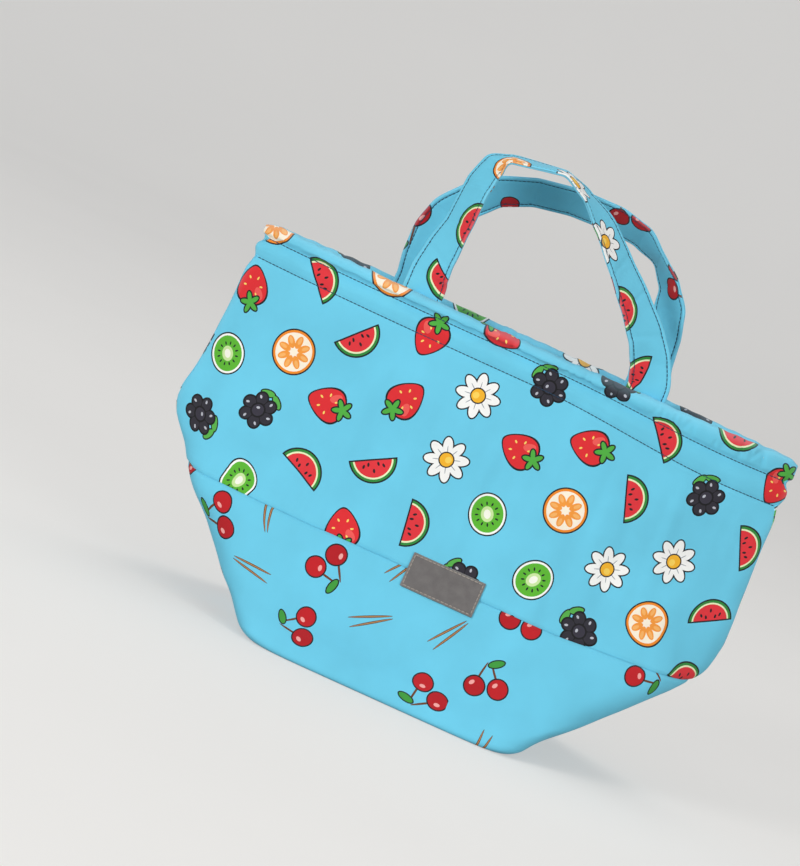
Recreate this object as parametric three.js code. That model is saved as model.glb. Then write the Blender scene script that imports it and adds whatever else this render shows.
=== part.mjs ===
// Bucket tote bag: padded fabric walls on a boxed base, a rolled rim and two strap handles.
// Millimetres, +Z up, front towards -Y, origin at the middle of the base.
import * as THREE from 'three';

// Overall form of the outside of the bag
const BAG_HEIGHT = 260;
const RIM_HALF_WIDTH = 203.2;
const UPPER_WALL_HALF_WIDTH = 206.5;
const UPPER_WALL_BELOW_RIM = 60;
const SHOULDER_HALF_WIDTH = 212.5;
const SHOULDER_HEIGHT = 108;
const SHOULDER_SOFTNESS = 16;
const BASE_HALF_WIDTH = 102;
const BASE_HALF_DEPTH = 105;
const BASE_EDGE_RADIUS = 7;
const RIM_HALF_DEPTH = 30;
const DEPTH_FALL_HEIGHT = 103;

// Cross-section: a rounded box at the base that fades into a lens with creased side seams
const BASE_SQUARENESS = 8;
const RIM_FULLNESS = 2.6;
const RIM_CREASE = 1.1;
const BOX_FADE_HEIGHT = 120;

// Wall layers, from outside to inside: fabric, foam, lining
const FABRIC_THICKNESS = 1;
const WALL_THICKNESS = 6;
const LAYER_GAP = 0.3;
const SEAM_GAP = 0.3;
const PRINT_SEAM_HEIGHT = 90;

// Rim: a padded roll closed by one stitch line, and a flat band closed by a second one
const ROLL_RADIUS = 5;
const FIRST_LINE_BELOW_RIM = 15;
const SECOND_LINE_BELOW_RIM = 32;
const FIRST_LINE_THICKNESS = 4.4;
const SECOND_LINE_THICKNESS = 4.6;
const BAND_THICKNESS = 6.2;
const PINCH_REACH = 12;

// Slip pocket on the back lining
const POCKET_WIDTH = 150;
const POCKET_BOTTOM_HEIGHT = 112;
const POCKET_DEPTH = 92;
const POCKET_THICKNESS = 0.8;
const POCKET_HEM_DEPTH = 14;
const POCKET_HEM_THICKNESS = 1.8;
const POCKET_CLEARANCE = 0.4;

// Label patch across the front print seam
const LABEL_WIDTH = 54;
const LABEL_HEIGHT = 24.5;
const LABEL_THICKNESS = 1.1;
const LABEL_CENTRE_X = 12.7;
const LABEL_CLEARANCE = 0.45;

// Strap handles: printed face, webbing core and plain backing
const STRAP_WIDTH = 30;
const STRAP_SKIN_THICKNESS = 0.7;
const STRAP_CORE_THICKNESS = 0.8;
const STRAP_HALF_SPACING = 85.5;
const STRAP_LEAN_DEGREES = 4;
const STRAP_SAMPLES_PER_STEP = 2;

// Route of each strap's middle above the rim, from the left root to the right one: distance from
// the bag's middle and rise above the rim, both as shares of one length, and turn from face-on to edge-on
const ROUTE_LENGTH = 100;
const FRONT_ROUTE = [
  { x: -0.87, rise: 0.18, turn: 26 },
  { x: -0.86, rise: 0.44, turn: 52 },
  { x: -0.845, rise: 0.7, turn: 52 },
  { x: -0.835, rise: 0.92, turn: 70 },
  { x: -0.78, rise: 1.06, turn: 90 },
  { x: -0.62, rise: 1.125, turn: 90 },
  { x: -0.28, rise: 1.18, turn: 90 },
  { x: -0.1, rise: 1.105, turn: 82 },
  { x: 0.12, rise: 0.955, turn: 64 },
  { x: 0.32, rise: 0.76, turn: 57 },
  { x: 0.515, rise: 0.57, turn: 46 },
  { x: 0.69, rise: 0.38, turn: 34 },
  { x: 0.795, rise: 0.22, turn: 20 },
];
const BACK_ROUTE = [
  { x: -0.91, rise: 0.2, turn: 12 },
  { x: -0.94, rise: 0.4, turn: 14 },
  { x: -0.905, rise: 0.56, turn: 22 },
  { x: -0.815, rise: 0.71, turn: 36 },
  { x: -0.65, rise: 0.86, turn: 46 },
  { x: -0.42, rise: 0.955, turn: 50 },
  { x: -0.14, rise: 1.005, turn: 51 },
  { x: 0.18, rise: 1.015, turn: 53 },
  { x: 0.4, rise: 0.98, turn: 60 },
  { x: 0.58, rise: 0.88, turn: 76 },
  { x: 0.71, rise: 0.75, turn: 66 },
  { x: 0.79, rise: 0.58, turn: 46 },
  { x: 0.81, rise: 0.38, turn: 22 },
  { x: 0.825, rise: 0.2, turn: 12 },
];
const STRAIGHT_ROOT_RISE = 7;

// Fineness of the facets
const QUARTER_STEPS = 200;
const SOFTEN_STEPS = 4;
const QUARTER_SHARES = [0, 0.07, 0.17, 0.3, 0.42, 0.5, 0.58, 0.7, 0.85, 1];
const LOWER_WALL_SHARES = [0.24, 0.5, 0.76];
const UPPER_WALL_SHARES = [0.16, 0.34, 0.58, 0.8];
const EDGE_ARC_ANGLES = [90, 60, 30, 0];
const ROLL_ARC_ANGLES = [72, 36];
const ROLL_TOP_ANGLE = 90;

const HALF_WALL = WALL_THICKNESS / 2;
const ROLL_CENTRE_HEIGHT = BAG_HEIGHT - ROLL_RADIUS;
const FIRST_LINE_HEIGHT = BAG_HEIGHT - FIRST_LINE_BELOW_RIM;
const SECOND_LINE_HEIGHT = BAG_HEIGHT - SECOND_LINE_BELOW_RIM;
const BAND_HEIGHT = (FIRST_LINE_HEIGHT + SECOND_LINE_HEIGHT) / 2;
const PINCH_HEIGHT = SECOND_LINE_HEIGHT - PINCH_REACH;
const SKIN_INSET = FABRIC_THICKNESS;
const FOAM_INSET = FABRIC_THICKNESS + LAYER_GAP;
const STRAP_THICKNESS = 2 * STRAP_SKIN_THICKNESS + STRAP_CORE_THICKNESS + 2 * LAYER_GAP;

function mix(from, to, share) {
  return from + (to - from) * share;
}

function ease(share) {
  const t = THREE.MathUtils.clamp(share, 0, 1);
  return t * t * (3 - 2 * t);
}

// Side outline of the bag, seen from the front

function widthLine(z) {
  const upperWallHeight = BAG_HEIGHT - UPPER_WALL_BELOW_RIM;
  if (z < SHOULDER_HEIGHT) {
    return mix(BASE_HALF_WIDTH, SHOULDER_HALF_WIDTH, z / SHOULDER_HEIGHT);
  }
  if (z < upperWallHeight) {
    const share = (z - SHOULDER_HEIGHT) / (upperWallHeight - SHOULDER_HEIGHT);
    return mix(SHOULDER_HALF_WIDTH, UPPER_WALL_HALF_WIDTH, share);
  }
  return mix(UPPER_WALL_HALF_WIDTH, RIM_HALF_WIDTH, (z - upperWallHeight) / UPPER_WALL_BELOW_RIM);
}

function halfWidth(z) {
  let total = 0;
  for (let i = -SOFTEN_STEPS; i <= SOFTEN_STEPS; i += 1) {
    total += widthLine(z + (SHOULDER_SOFTNESS * i) / SOFTEN_STEPS);
  }
  return total / (2 * SOFTEN_STEPS + 1);
}

// Half-depth falls off towards the rim, as the walls close to a flat mouth

function halfDepth(z) {
  const atRim = Math.exp(-BAG_HEIGHT / DEPTH_FALL_HEIGHT);
  const share = (Math.exp(-z / DEPTH_FALL_HEIGHT) - atRim) / (1 - atRim);
  return mix(RIM_HALF_DEPTH, BASE_HALF_DEPTH, share);
}

// Section at one height, moved inwards by an inset that is even along the wall. What stands proud
// of the wall dies out at the side seams.

function section(z, inset) {
  const fade = ease(z / BOX_FADE_HEIGHT);
  const p = mix(BASE_SQUARENESS, RIM_FULLNESS, fade);
  const q = mix(BASE_SQUARENESS, RIM_CREASE, fade);
  const width = halfWidth(z);
  const depth = halfDepth(z);
  const tipShare = inset > 0 ? mix(1, Math.hypot(1, width / (p * depth)), fade) : 0;
  return { a: width - inset * tipShare, b: depth - inset, p, q };
}

// Distance of the wall from the plane of the side seams, at one distance from the middle

function wallReach(x, z, inset) {
  const { a, b, p, q } = section(z, inset);
  const share = Math.min(Math.abs(x) / a, 1);
  return SEAM_GAP / 2 + b * (1 - share ** p) ** (1 / q);
}

// Half a ring of the wall, from the left seam to the right one, in even shares of its length

function quarterRing(z, inset) {
  const { a, b, p, q } = section(z, inset);
  const table = [];
  for (let i = 0; i <= QUARTER_STEPS; i += 1) {
    const angle = (Math.PI / 2) * (i / QUARTER_STEPS);
    const x = a * Math.max(Math.cos(angle), 0) ** (2 / p);
    const y = b * Math.sin(angle) ** (2 / q);
    const before = table[i - 1];
    const length = before ? before.length + Math.hypot(x - before.x, y - before.y) : 0;
    table.push({ x: i === QUARTER_STEPS ? 0 : x, y, length });
  }
  return QUARTER_SHARES.map((share) => {
    const wanted = share * table[QUARTER_STEPS].length;
    const after = Math.max(table.findIndex((entry) => entry.length >= wanted), 1);
    const low = table[after - 1];
    const high = table[after];
    const part = (wanted - low.length) / (high.length - low.length);
    return { x: mix(low.x, high.x, part), y: mix(low.y, high.y, part) };
  });
}

function halfRing({ z, inset, reach = 1 }, side) {
  const quarter = quarterRing(z, inset);
  const left = quarter.map(({ x, y }) => ({ x: -x, y }));
  const right = quarter.slice(0, -1).reverse();
  return [...left, ...right].map(
    ({ x, y }) => new THREE.Vector3(x, side * (SEAM_GAP / 2 + y * reach), z),
  );
}

// Closed solids from rings that each run down one face of a sheet and back up the other

function solidGeometry(points, faces) {
  const places = new Map();
  const merged = [];
  const index = points.map((point) => {
    const key = point.toArray().map((value) => Math.round(value * 1e4)).join();
    if (!places.has(key)) {
      places.set(key, merged.length);
      merged.push(point);
    }
    return places.get(key);
  });
  const triangles = faces
    .map((face) => face.map((corner) => index[corner]))
    .filter(([a, b, c]) => a !== b && b !== c && c !== a);
  let volume = 0;
  for (const [a, b, c] of triangles) {
    volume += merged[a].dot(merged[b].clone().cross(merged[c]));
  }
  const outward = volume > 0 ? triangles : triangles.map(([a, b, c]) => [a, c, b]);
  const geometry = new THREE.BufferGeometry().setFromPoints(merged);
  geometry.setIndex(outward.flat());
  geometry.computeVertexNormals();
  return geometry;
}

// Skewed facets are split the same way in every layer, and mirrored about the middle ring

function sweep(rings) {
  const count = rings[0].length;
  const half = count / 2;
  const faces = [];
  const at = (ring, corner) => ring * count + (corner % count);
  for (let ring = 0; ring < rings.length - 1; ring += 1) {
    const leftHalf = ring < (rings.length - 1) / 2;
    for (let i = 0; i < count; i += 1) {
      const a = at(ring, i);
      const b = at(ring, i + 1);
      const c = at(ring + 1, i + 1);
      const d = at(ring + 1, i);
      if (i < half === leftHalf) {
        faces.push([a, b, c], [a, c, d]);
      } else {
        faces.push([a, b, d], [b, c, d]);
      }
    }
  }
  const last = rings.length - 1;
  for (let i = 0; i < half - 1; i += 1) {
    faces.push([at(0, i + 1), at(0, i), at(0, count - 1 - i)]);
    faces.push([at(0, i + 1), at(0, count - 1 - i), at(0, count - 2 - i)]);
    faces.push([at(last, i), at(last, i + 1), at(last, count - 1 - i)]);
    faces.push([at(last, i + 1), at(last, count - 2 - i), at(last, count - 1 - i)]);
  }
  return solidGeometry(rings.flat(), faces);
}

// Half a wall layer between two faces, each a list of rows from the rim to the base

function wallLayer(outerRows, innerRows, side) {
  const outer = outerRows.map((row) => halfRing(row, side));
  const inner = innerRows.map((row) => halfRing(row, side));
  const columns = outer[0].map((unused, column) => [
    ...outer.map((ring) => ring[column]),
    ...inner.map((ring) => ring[column]).reverse(),
  ]);
  return sweep(columns);
}

// Half-thickness of the padded wall: pinched at both stitch lines and round at the rim

function halfThickness(z) {
  const marks = [
    { z: PINCH_HEIGHT, half: HALF_WALL },
    { z: SECOND_LINE_HEIGHT, half: SECOND_LINE_THICKNESS / 2 },
    { z: BAND_HEIGHT, half: BAND_THICKNESS / 2 },
    { z: FIRST_LINE_HEIGHT, half: FIRST_LINE_THICKNESS / 2 },
    { z: ROLL_CENTRE_HEIGHT, half: ROLL_RADIUS },
  ];
  const above = marks.findIndex((mark) => z <= mark.z);
  if (above === 0) {
    return HALF_WALL;
  }
  const from = marks[above - 1];
  const to = marks[above];
  return mix(from.half, to.half, ease((z - from.z) / (to.z - from.z)));
}

// Rows of one face, counted inwards from the outer face of the wall or outwards from its inner face

const UPPER_HEIGHTS = UPPER_WALL_SHARES.map((share) => mix(PRINT_SEAM_HEIGHT, PINCH_HEIGHT, share));
const LOWER_HEIGHTS = LOWER_WALL_SHARES.map((share) => mix(BASE_EDGE_RADIUS, PRINT_SEAM_HEIGHT, share));
const RIM_HEIGHTS = [
  ROLL_CENTRE_HEIGHT,
  (ROLL_CENTRE_HEIGHT + FIRST_LINE_HEIGHT) / 2,
  FIRST_LINE_HEIGHT,
  BAND_HEIGHT,
  SECOND_LINE_HEIGHT,
];

function outerFace(heights, inset) {
  return heights.map((z) => ({ z, inset: HALF_WALL - halfThickness(z) + inset }));
}

function innerFace(heights, inset) {
  return heights.map((z) => ({ z, inset: HALF_WALL + halfThickness(z) - inset }));
}

function rollArc(inset, angles) {
  const radius = ROLL_RADIUS - inset;
  return angles.map((degrees) => {
    const angle = THREE.MathUtils.degToRad(degrees);
    return { z: ROLL_CENTRE_HEIGHT + radius * Math.sin(angle), inset: HALF_WALL - radius * Math.cos(angle) };
  });
}

function baseRows(depth) {
  const radius = BASE_EDGE_RADIUS - depth;
  const edge = EDGE_ARC_ANGLES.map((degrees) => {
    const angle = THREE.MathUtils.degToRad(degrees);
    return {
      z: BASE_EDGE_RADIUS - radius * Math.cos(angle),
      inset: BASE_EDGE_RADIUS - radius * Math.sin(angle),
    };
  });
  const last = edge[edge.length - 1];
  return [...edge, { ...last, reach: 0 }];
}

const downwards = (heights) => [...heights].sort((low, high) => high - low);
const PANEL_HEIGHTS = downwards([...UPPER_HEIGHTS, PINCH_HEIGHT]);
const WALL_HEIGHTS = downwards([...PANEL_HEIGHTS, PRINT_SEAM_HEIGHT, ...LOWER_HEIGHTS]);

// Upper panel: the print runs up the outside, over the roll and down the inside as a facing

function upperPanel(side) {
  const inwardArc = ROLL_ARC_ANGLES.map((angle) => 2 * ROLL_TOP_ANGLE - angle);
  const skin = (inset) => [
    ...innerFace([...RIM_HEIGHTS].reverse(), inset),
    ...rollArc(inset, [...inwardArc].reverse()),
    ...rollArc(inset, [ROLL_TOP_ANGLE, ...ROLL_ARC_ANGLES]),
    ...outerFace([...RIM_HEIGHTS, ...PANEL_HEIGHTS, PRINT_SEAM_HEIGHT + SEAM_GAP / 2], inset),
  ];
  return wallLayer(skin(0), skin(SKIN_INSET), side);
}

// Lower panel: plain print from the seam down the wall and under the base to the bottom seam

function lowerPanel(side) {
  const heights = [PRINT_SEAM_HEIGHT - SEAM_GAP / 2, ...downwards(LOWER_HEIGHTS)];
  return wallLayer(
    [...outerFace(heights, 0), ...baseRows(0)],
    [...outerFace(heights, SKIN_INSET), ...baseRows(SKIN_INSET)],
    side,
  );
}

// Foam: one sheet a side, from the roll down to the bottom seam

function foamSheet(side) {
  const inwardArc = ROLL_ARC_ANGLES.map((angle) => 2 * ROLL_TOP_ANGLE - angle);
  const outer = [
    ...rollArc(FOAM_INSET, ROLL_ARC_ANGLES),
    ...outerFace([...RIM_HEIGHTS, ...WALL_HEIGHTS], FOAM_INSET),
    ...baseRows(FOAM_INSET),
  ];
  const inner = [
    ...rollArc(FOAM_INSET, inwardArc),
    ...innerFace([...RIM_HEIGHTS, ...WALL_HEIGHTS], FOAM_INSET),
    ...baseRows(WALL_THICKNESS - FOAM_INSET),
  ];
  return wallLayer(outer, inner, side);
}

// Lining: from the lower edge of the facing down to the bottom seam

function liningSheet(side) {
  const heights = [SECOND_LINE_HEIGHT - SEAM_GAP, ...WALL_HEIGHTS];
  return wallLayer(
    [...innerFace(heights, SKIN_INSET), ...baseRows(WALL_THICKNESS - SKIN_INSET)],
    [...innerFace(heights, 0), ...baseRows(WALL_THICKNESS)],
    side,
  );
}

// A patch that follows a face of the wall, given by its columns and by its rows of two depths

function wallPatch(columns, rows, side) {
  const place = (x, z, inset) => new THREE.Vector3(x, side * wallReach(x, z, inset), z);
  const rings = columns.map((x) => [
    ...rows.map(({ z, near }) => place(x, z, near)),
    ...rows.map(({ z, far }) => place(x, z, far)).reverse(),
  ]);
  return sweep(rings);
}

function spread(from, to, steps) {
  return Array.from({ length: steps + 1 }, (unused, step) => mix(from, to, step / steps));
}

function label() {
  const columns = spread(LABEL_CENTRE_X - LABEL_WIDTH / 2, LABEL_CENTRE_X + LABEL_WIDTH / 2, 4);
  const heights = spread(PRINT_SEAM_HEIGHT + LABEL_HEIGHT / 2, PRINT_SEAM_HEIGHT - LABEL_HEIGHT / 2, 2);
  const rows = heights.map((z) => ({ z, near: -LABEL_CLEARANCE - LABEL_THICKNESS, far: -LABEL_CLEARANCE }));
  return wallPatch(columns, rows, -1);
}

function pocket() {
  const columns = spread(-POCKET_WIDTH / 2, POCKET_WIDTH / 2, 8);
  const near = WALL_THICKNESS + POCKET_CLEARANCE;
  const top = POCKET_BOTTOM_HEIGHT + POCKET_DEPTH;
  const sheet = { near, far: near + POCKET_THICKNESS };
  const hem = { near, far: near + POCKET_HEM_THICKNESS };
  const hemEdge = top - POCKET_HEM_DEPTH;
  const rows = [
    { z: top, ...hem },
    { z: hemEdge, ...hem },
    { z: hemEdge - (POCKET_HEM_THICKNESS - POCKET_THICKNESS), ...sheet },
    ...spread(hemEdge, POCKET_BOTTOM_HEIGHT, 3).slice(1).map((z) => ({ z, ...sheet })),
  ];
  return wallPatch(columns, rows, 1);
}

// Strap tails: the sewn ends of a handle, flat on the facing from the second line up to the rim

function strapTail(side, end) {
  const middle = end * STRAP_HALF_SPACING;
  const columns = spread(middle - STRAP_WIDTH / 2, middle + STRAP_WIDTH / 2, 2);
  const facing = innerFace(RIM_HEIGHTS, 0);
  const rows = [{ ...facing[0], z: BAG_HEIGHT - SEAM_GAP / 2 }, ...facing].map(({ z, inset }) => ({
    z,
    near: inset + LAYER_GAP,
    far: inset + LAYER_GAP + STRAP_THICKNESS,
  }));
  return wallPatch(columns, rows, side);
}

// Handles: each swings about a line through the middle of the roll at its two roots

const SWING_RADIUS = ROLL_RADIUS + LAYER_GAP + STRAP_THICKNESS / 2;
const SWING_REACH = wallReach(STRAP_HALF_SPACING, ROLL_CENTRE_HEIGHT, HALF_WALL);

function rimSlopeDegrees() {
  const run = STRAP_WIDTH / 2;
  const near = wallReach(STRAP_HALF_SPACING - run, ROLL_CENTRE_HEIGHT, HALF_WALL);
  const far = wallReach(STRAP_HALF_SPACING + run, ROLL_CENTRE_HEIGHT, HALF_WALL);
  return THREE.MathUtils.radToDeg(Math.atan2(near - far, 2 * run));
}

function strapStations(route) {
  const slope = rimSlopeDegrees();
  const root = (end) => [
    { x: end * STRAP_HALF_SPACING, rise: SEAM_GAP / 2, turn: slope },
    { x: end * STRAP_HALF_SPACING, rise: STRAIGHT_ROOT_RISE, turn: slope },
  ];
  const drawn = route.map(({ x, rise, turn }) => ({ x: x * ROUTE_LENGTH, rise: rise * ROUTE_LENGTH, turn }));
  return [...root(-1), ...drawn, ...root(1).reverse()];
}

// Rings of one strap layer, between two distances from the strap's middle

function strapLayer(route, side, low, high) {
  const stations = strapStations(route);
  const curve = new THREE.CatmullRomCurve3(
    stations.map(({ x, rise }) => new THREE.Vector3(x, 0, rise)),
    false,
    'centripetal',
  );
  const steps = (stations.length - 1) * STRAP_SAMPLES_PER_STEP;
  const lean = THREE.MathUtils.degToRad(STRAP_LEAN_DEGREES);
  const rings = spread(0, 1, steps).map((share) => {
    const station = share * (stations.length - 1);
    const index = Math.min(Math.floor(station), stations.length - 2);
    const turn = mix(stations[index].turn, stations[index + 1].turn, ease(station - index));
    const angle = THREE.MathUtils.degToRad(turn);
    const along = share === 0 || share === 1 ? new THREE.Vector3(0, 0, 1 - 2 * share) : curve.getTangent(share);
    const inwards = new THREE.Vector3(along.z, 0, -along.x);
    const outwards = new THREE.Vector3(0, -1, 0);
    const across = inwards.clone().multiplyScalar(Math.cos(angle)).addScaledVector(outwards, Math.sin(angle));
    const normal = outwards.clone().multiplyScalar(Math.cos(angle)).addScaledVector(inwards, -Math.sin(angle));
    const corner = (reach, level) => curve.getPoint(share)
      .addScaledVector(across, (reach * STRAP_WIDTH) / 2)
      .addScaledVector(normal, level)
      .add(new THREE.Vector3(0, SWING_RADIUS, ROLL_RADIUS))
      .applyAxisAngle(new THREE.Vector3(1, 0, 0), lean)
      .add(new THREE.Vector3(0, -SWING_REACH, ROLL_CENTRE_HEIGHT));
    return [corner(-1, high), corner(1, high), corner(1, low), corner(-1, low)];
  });
  const mirrored = rings.map((ring) => ring.map((point) => point.setY(-side * point.y)));
  return sweep(mirrored);
}

// Materials

function fabric(colour, roughness = 0.85) {
  return new THREE.MeshStandardMaterial({ color: colour, roughness, metalness: 0 });
}

const printedCotton = fabric(0x62bfe0);
const plainCotton = fabric(0x4fb4dc);
const foamWhite = fabric(0xe9e6df, 0.95);
const liningCotton = fabric(0x58b9dd);
const webbingWhite = fabric(0xdcd8cf, 0.95);
const greyLeather = fabric(0x6f6a67, 0.6);

const bag = new THREE.Group();

function addPiece(name, geometry, material) {
  const mesh = new THREE.Mesh(geometry, material);
  mesh.name = name;
  bag.add(mesh);
}

const SIDES = [
  { name: 'front', side: -1, route: FRONT_ROUTE },
  { name: 'back', side: 1, route: BACK_ROUTE },
];
const ENDS = [
  { name: 'left', end: -1 },
  { name: 'right', end: 1 },
];

for (const { name, side, route } of SIDES) {
  addPiece(`${name}_upper_panel`, upperPanel(side), printedCotton);
  addPiece(`${name}_lower_panel`, lowerPanel(side), plainCotton);
  addPiece(`${name}_foam`, foamSheet(side), foamWhite);
  addPiece(`${name}_lining`, liningSheet(side), liningCotton);
  for (const { name: endName, end } of ENDS) {
    addPiece(`${name}_handle_tail_${endName}`, strapTail(side, end), printedCotton);
  }
  const coreHalf = STRAP_CORE_THICKNESS / 2;
  const skinStart = coreHalf + LAYER_GAP;
  const skinEnd = skinStart + STRAP_SKIN_THICKNESS;
  addPiece(`${name}_handle_face`, strapLayer(route, side, skinStart, skinEnd), printedCotton);
  addPiece(`${name}_handle_core`, strapLayer(route, side, -coreHalf, coreHalf), webbingWhite);
  addPiece(`${name}_handle_backing`, strapLayer(route, side, -skinEnd, -skinStart), plainCotton);
}
addPiece('label_patch', label(), greyLeather);
addPiece('inner_pocket', pocket(), liningCotton);

export default bag;
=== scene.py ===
"""Bucket tote bag: padded cotton walls, a stitched roll rim and two strap handles, dressed for rendering."""

import math

import bmesh
import bpy
import numpy as np
from mathutils import Matrix, Vector
from mathutils.kdtree import KDTree


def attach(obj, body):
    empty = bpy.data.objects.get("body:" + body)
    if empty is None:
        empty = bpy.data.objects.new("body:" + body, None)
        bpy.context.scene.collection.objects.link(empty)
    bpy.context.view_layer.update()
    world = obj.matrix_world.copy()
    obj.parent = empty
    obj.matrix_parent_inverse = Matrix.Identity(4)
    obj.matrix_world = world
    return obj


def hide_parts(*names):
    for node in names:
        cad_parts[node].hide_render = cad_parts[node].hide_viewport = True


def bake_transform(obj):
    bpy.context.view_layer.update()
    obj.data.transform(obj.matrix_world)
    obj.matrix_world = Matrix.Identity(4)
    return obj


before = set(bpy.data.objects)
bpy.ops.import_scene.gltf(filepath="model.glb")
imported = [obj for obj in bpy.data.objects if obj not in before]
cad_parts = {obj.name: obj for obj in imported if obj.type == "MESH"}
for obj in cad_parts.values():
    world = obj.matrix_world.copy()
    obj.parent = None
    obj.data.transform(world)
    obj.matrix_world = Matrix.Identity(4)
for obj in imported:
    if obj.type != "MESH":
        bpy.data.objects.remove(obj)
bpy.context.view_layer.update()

MM = 0.001

# Overall form in millimetres, as in the CAD part
BAG_HEIGHT = 260.0
WIDTH_HEIGHTS = [-108, 0, 108, 200, 320]
HALF_WIDTHS = [-8.5, 102, 212.5, 206.5, 199.9]
WIDTH_SOFTNESS = 16
RIM_HALF_DEPTH = 30
BASE_HALF_DEPTH = 105
DEPTH_FALL_HEIGHT = 103
BASE_EDGE_RADIUS = 7
BASE_SQUARENESS = 8
RIM_FULLNESS = 2.6
RIM_CREASE = 1.1
BOX_FADE_HEIGHT = 120

# Wall layers
FABRIC_THICKNESS = 1.0
# The drawn cloth is a little thinner than the CAD sheet, because its relief takes up the rest
CLOTH_THICKNESS = 0.8 * FABRIC_THICKNESS
WALL_THICKNESS = 6.0
HALF_WALL = WALL_THICKNESS / 2
LAYER_GAP = 0.3
SEAM_GAP = 0.3
PRINT_SEAM_HEIGHT = 90
# The cloth's length from a side seam to the middle, about the same at each height that has relief
HALF_GIRTH = 205

# Rim
ROLL_RADIUS = 5.0
ROLL_CENTRE_HEIGHT = BAG_HEIGHT - ROLL_RADIUS
FIRST_LINE_HEIGHT = 245
SECOND_LINE_HEIGHT = 228
THICKNESS_HEIGHTS = [216, 228, 236.5, 245, 255]
HALF_THICKNESSES = [3.0, 2.3, 3.1, 2.2, 5.0]

# Pocket and label
POCKET_WIDTH = 150
POCKET_BOTTOM_HEIGHT = 112
POCKET_TOP_HEIGHT = 204
POCKET_HEM_DEPTH = 14
POCKET_CLEARANCE = 0.4
LABEL_WIDTH = 54
LABEL_HEIGHT = 24.5
LABEL_THICKNESS = 1.1
LABEL_CENTRE_X = 11.2
LABEL_CENTRE_HEIGHT = PRINT_SEAM_HEIGHT - 1.8
LABEL_CLEARANCE = 0.45

# Straps
STRAP_WIDTH = 30
STRAP_THICKNESS = 2.8
STRAP_HALF_SPACING = 85.5
STRAP_LEAN = math.radians(4)
# How far left of its mate each strap's left end was sewn in
LEFT_ROOT_SHIFT = {-1: 0.0, 1: 8.0}
SWING_RADIUS = ROLL_RADIUS + LAYER_GAP + STRAP_THICKNESS / 2
STRAIGHT_ROOT_RISE = 7
# How much of each run between two folds is straight
STRAP_CRISPNESS = 0.95
# The strap's half-section: across from its edge to near its middle, and the face's height there, over a stitch groove
STRAP_COLUMNS = np.array([-15, -14.9, -14.6, -14.1, -13.4, -12.7, -12.3, -12, -11.7, -11.3, -10.4, -9, -7, -4.5, -1.5])
STRAP_LEVELS = np.array([0.2, 0.6, 0.95, 1.2, 1.3, 1.15, 0.9, 0.75, 0.85, 1.05, 1.25, 1.36, 1.42, 1.44, 1.44])
STRAP_STITCH_COLUMN = 7
STRAP_ROW_SPACING = 1.5
# Each route's stations from left to right: distance from the middle, height over the rim, lean of the flat face
FRONT_ROUTE = [
    (-86.5, 14, 20), (-85.5, 30, 34), (-82, 56, 50), (-80.6, 86, 52), (-76.5, 102, 57), (-67.5, 111.5, 86),
    (-28, 118, 90), (-10, 110.5, 82), (12, 95.5, 64), (32, 76, 57), (51.5, 57, 46), (69, 38, 34),
    (79.5, 22, 20),
]
BACK_ROUTE = [
    (-96, 20, 12), (-96.5, 40, 14), (-92.5, 56, 22), (-82, 71, 36), (-65, 86, 46), (-42, 95.5, 50),
    (-14, 100.5, 51), (18, 101.5, 53), (40, 98, 60), (58, 88, 76), (71, 75, 66), (79, 58, 46),
    (81, 38, 22), (82.5, 20, 12),
]

# Stitching, a little longer than its pitch, because the photographed lines look almost unbroken
STITCH_PITCH = 3.0
STITCH_LENGTH = 3.1
THREAD_RADIUS = 0.42
STITCH_RISE = 0.08
STITCH_BATCH = 30

# How far each cloth's flat pattern is shifted, so that no two pieces are cut from the same place of the print
BACK_UPPER_SHIFT, BACK_LOWER_SHIFT, LINING_SHIFT, POCKET_SHIFT = 457, 433, 77, (19, -31)
STRAP_SHIFT = {-1: 233, 1: 371}
FACE_SHIFT, BACKING_SHIFT = 57, 147


def smooth(share):
    """Rises from 0 to 1 without corners."""
    t = np.clip(share, 0, 1)
    return t * t * (3 - 2 * t)


def mix(start, end, share):
    return start + (end - start) * share


def nearness(values, centre, width):
    """A bell that is 1 at its centre and fades over its width."""
    return np.exp(-((values - centre) / width) ** 2)


def half_width(z):
    """Half-width at one height, with the corners of the side profile rounded."""
    steps = np.arange(-4, 5) / 4 * WIDTH_SOFTNESS
    return float(np.mean(np.interp(z + steps, WIDTH_HEIGHTS, HALF_WIDTHS)))


def half_depth(z):
    """Half-depth, which falls off fast over the base and slowly towards the rim."""
    at_rim = math.exp(-BAG_HEIGHT / DEPTH_FALL_HEIGHT)
    share = (math.exp(-z / DEPTH_FALL_HEIGHT) - at_rim) / (1 - at_rim)
    return mix(RIM_HALF_DEPTH, BASE_HALF_DEPTH, share)


def section(z, inset):
    """Half-width, half-depth and the two powers of the rounded section at one height."""
    fade = float(smooth(z / BOX_FADE_HEIGHT))
    p = mix(BASE_SQUARENESS, RIM_FULLNESS, fade)
    q = mix(BASE_SQUARENESS, RIM_CREASE, fade)
    width, depth = half_width(z), half_depth(z)
    tip_share = mix(1, math.hypot(1, width / (p * depth)), fade) if inset > 0 else 0
    return width - inset * tip_share, depth - inset, p, q


def quarter(z, inset):
    """A quarter of the section as distances along it, x and y, from the side seam to the middle."""
    a, b, p, q = section(z, inset)
    angle = smooth(np.linspace(0, 1, 401)) * math.pi / 2
    x = a * np.clip(np.cos(angle), 0, 1) ** (2 / p)
    y = b * np.sin(angle) ** (2 / q)
    x[-1] = 0
    along = np.concatenate([[0], np.cumsum(np.hypot(np.diff(x), np.diff(y)))])
    return along, x, y


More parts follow.
